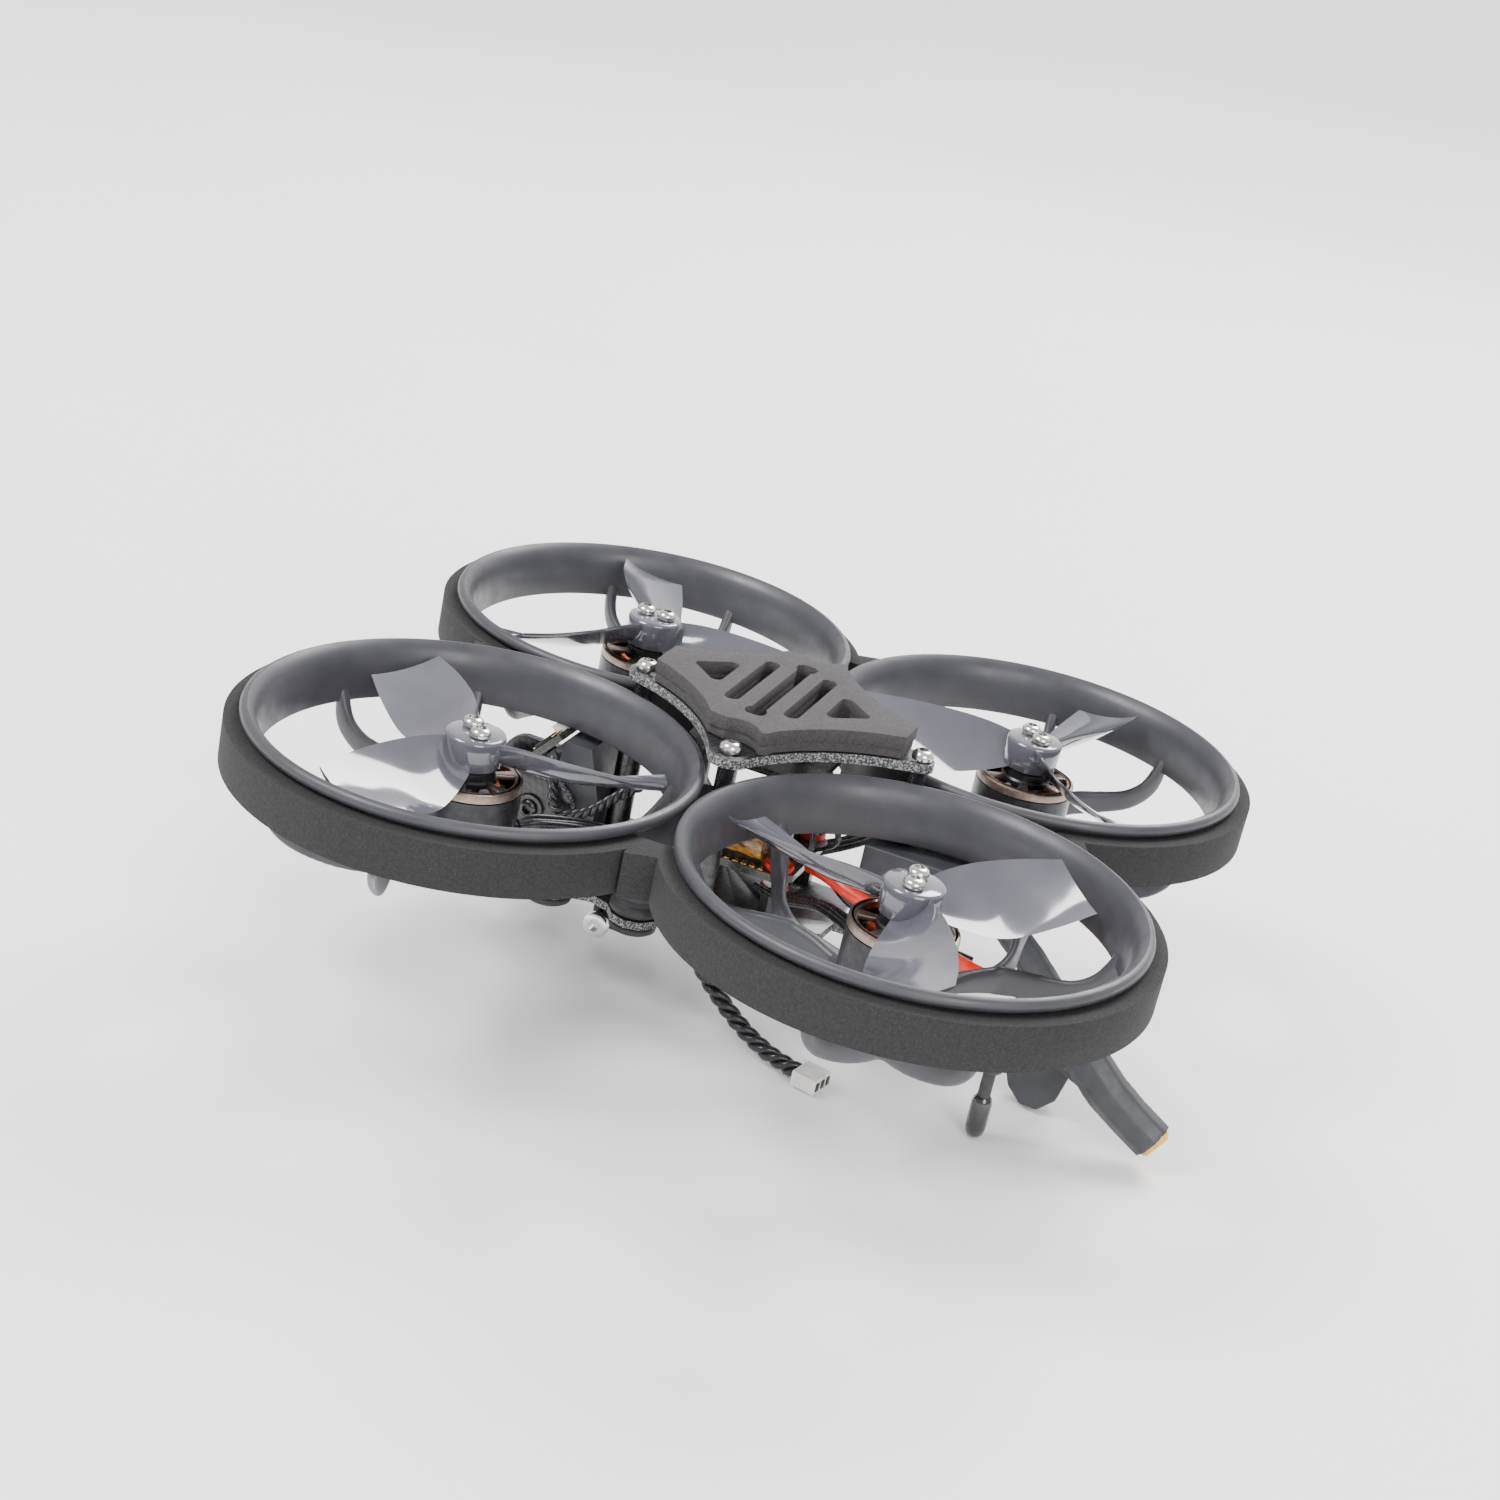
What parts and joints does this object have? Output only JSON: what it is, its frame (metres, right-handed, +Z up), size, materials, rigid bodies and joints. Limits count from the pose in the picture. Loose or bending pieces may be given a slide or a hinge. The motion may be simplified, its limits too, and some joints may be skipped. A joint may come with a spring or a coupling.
{
  "type": "ducted racing drone",
  "caption": "Small first-person-view quadcopter with ducted three-bladed rotors, a foam bumper, a top battery pad and an underslung camera pod.",
  "frame": {"origin": "middle of the bounding box, without the free lead, at the surface the antenna tip reaches", "axes": "+Z up along the rotor axes, -Y towards the front with the camera, +X the left side"},
  "size_m": [0.1832, 0.1898, 0.0703],
  "materials": {
    "duct_plastic": "satin",
    "foam": "matte",
    "pad_foam": "matte",
    "carbon": "satin",
    "anodised_black": "satin",
    "steel": "polished",
    "black_steel": "satin",
    "winding": "satin",
    "smoke_plastic": "glossy",
    "soft_rubber": "matte",
    "black_plastic": "satin",
    "lens_glass": "polished",
    "circuit_board": "satin",
    "amber_film": "glossy",
    "red_silicone": "satin",
    "yellow_plastic": "satin",
    "white_plastic": "satin",
    "black_wire": "satin"
  },
  "bodies": {
    "frame": {"accessory_lug": "soft_rubber", "antenna": "black_plastic", "battery_lead": "red_silicone", "battery_pad": "pad_foam", "battery_plug": "yellow_plastic", "bottom_plate": "carbon", "camera_plate": "carbon", "camera_screw_left": "black_steel", "camera_screw_right": "black_steel", "camera_side_left": "carbon", "camera_side_right": "carbon", "capacitor": "amber_film", "cradle": "soft_rubber", "cross_bolt": "steel", "damper_front_left": "soft_rubber", "damper_front_right": "soft_rubber", "damper_rear_left": "soft_rubber", "damper_rear_right": "soft_rubber", "duct_front_left": "duct_plastic", "duct_front_right": "duct_plastic", "duct_rear_left": "duct_plastic", "duct_rear_right": "duct_plastic", "flight_controller": "circuit_board", "foam_bumper": "foam", "frame_screw_front": "steel", "frame_screw_left": "steel", "frame_screw_rear": "steel", "frame_screw_right": "steel", "lead": "black_wire", "lead_plug": "white_plastic", "post_front": "anodised_black", "post_left": "anodised_black", "post_rear": "anodised_black", "post_right": "anodised_black", "radio_board": "circuit_board", "rear_mount": "soft_rubber", "stator_front_left": "winding", "stator_front_right": "winding", "stator_rear_left": "winding", "stator_rear_right": "winding", "top_plate": "carbon", "video_board": "circuit_board"},
    "rotor_front_left": {"bell_front_left": "anodised_black", "propeller_front_left": "smoke_plastic", "prop_screw_a_front_left": "steel", "prop_screw_b_front_left": "steel"},
    "rotor_front_right": {"bell_front_right": "anodised_black", "propeller_front_right": "smoke_plastic", "prop_screw_a_front_right": "steel", "prop_screw_b_front_right": "steel"},
    "rotor_rear_left": {"bell_rear_left": "anodised_black", "propeller_rear_left": "smoke_plastic", "prop_screw_a_rear_left": "steel", "prop_screw_b_rear_left": "steel"},
    "rotor_rear_right": {"bell_rear_right": "anodised_black", "propeller_rear_right": "smoke_plastic", "prop_screw_a_rear_right": "steel", "prop_screw_b_rear_right": "steel"},
    "camera": {"camera_body": "black_plastic", "camera_lens": "lens_glass"}
  },
  "joints": [
    {"name": "spin_front_left", "type": "hinge", "parent": "frame", "child": "rotor_front_left", "pos_m": [0.04455, -0.04789, 0.0463], "axis": [0, 0, 1], "continuous": true},
    {"name": "spin_front_right", "type": "hinge", "parent": "frame", "child": "rotor_front_right", "pos_m": [-0.04455, -0.04789, 0.0463], "axis": [0, 0, 1], "continuous": true},
    {"name": "spin_rear_left", "type": "hinge", "parent": "frame", "child": "rotor_rear_left", "pos_m": [0.04455, 0.04121, 0.0463], "axis": [0, 0, 1], "continuous": true},
    {"name": "spin_rear_right", "type": "hinge", "parent": "frame", "child": "rotor_rear_right", "pos_m": [-0.04455, 0.04121, 0.0463], "axis": [0, 0, 1], "continuous": true},
    {"name": "camera_tilt", "type": "hinge", "parent": "frame", "child": "camera", "pos_m": [0, -0.04814, 0.0319], "axis": [-1, 0, 0], "range_deg": [-12, 25]}
  ]
}
